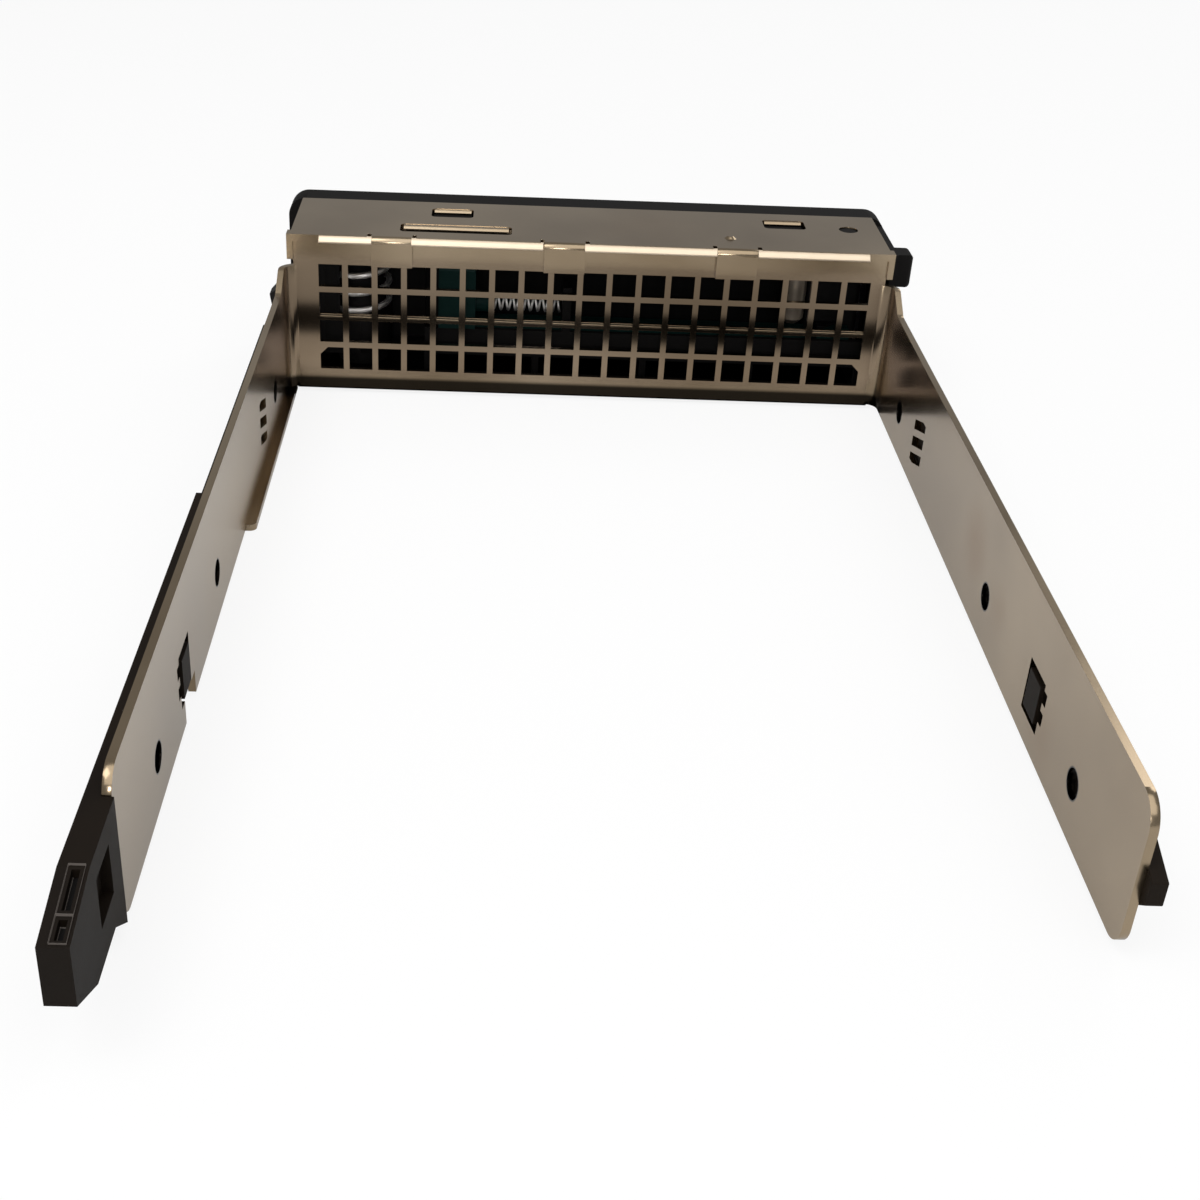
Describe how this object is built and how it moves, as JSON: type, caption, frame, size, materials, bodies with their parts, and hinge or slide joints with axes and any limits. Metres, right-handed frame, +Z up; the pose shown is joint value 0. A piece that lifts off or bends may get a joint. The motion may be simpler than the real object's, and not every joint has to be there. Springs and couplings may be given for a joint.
{
  "type": "hot swap drive caddy",
  "caption": "Folded steel cradle for a hard drive with a perforated rear plate, black plastic front, pull lever with cam hook, release button and side light pipes.",
  "frame": {"origin": "The middle of the caddy's footprint, on the plane that it stands on", "axes": "X is the width, +Y runs from the lever at the front to the open end of the arms, +Z is up"},
  "size_m": [0.1132, 0.1854, 0.0291],
  "materials": {
    "plated_steel": "bright nickel plated sheet steel",
    "grey_steel": "plain turned steel",
    "spring_steel": "bright spring wire",
    "black_plastic": "matt moulded plastic",
    "green_plastic": "dark green moulded plastic",
    "clear_plastic": "clear moulded light pipe"
  },
  "bodies": {
    "carrier": {"frame": "plated_steel", "top_cover": "plated_steel", "stop_pin": "grey_steel", "bezel": "black_plastic", "hinge_pin": "grey_steel", "lever_spring": "spring_steel", "latch_spring": "spring_steel", "button_spring": "spring_steel", "latch_housing": "black_plastic", "light_pipe_rail": "black_plastic", "guide_rail": "black_plastic", "light_pipe_upper": "clear_plastic", "light_pipe_lower": "clear_plastic"},
    "pull_lever": {"lever": "black_plastic", "lever_face": "black_plastic"},
    "button": {"release_button": "black_plastic"},
    "latch": {"latch_slider": "green_plastic"}
  },
  "joints": [
    {"name": "lever_hinge", "type": "hinge", "parent": "carrier", "child": "pull_lever", "pos_m": [0.04, -0.08125, 0.01425], "axis": [0, 0, 1], "range_deg": [0, 50]},
    {"name": "button_press", "type": "slide", "parent": "carrier", "child": "button", "axis": [0, 1, 0], "range_m": [0, 0.002], "stiffness_N_per_m": 400, "springref_m": -0.002, "deforming": ["button_spring"]},
    {"name": "latch_slide", "type": "slide", "parent": "carrier", "child": "latch", "axis": [-1, 0, 0], "range_m": [0, 0.002], "deforming": ["latch_spring"]}
  ],
  "couplings": [
    {"joint": "latch_slide", "follows": "button_press", "ratio": 1}
  ]
}
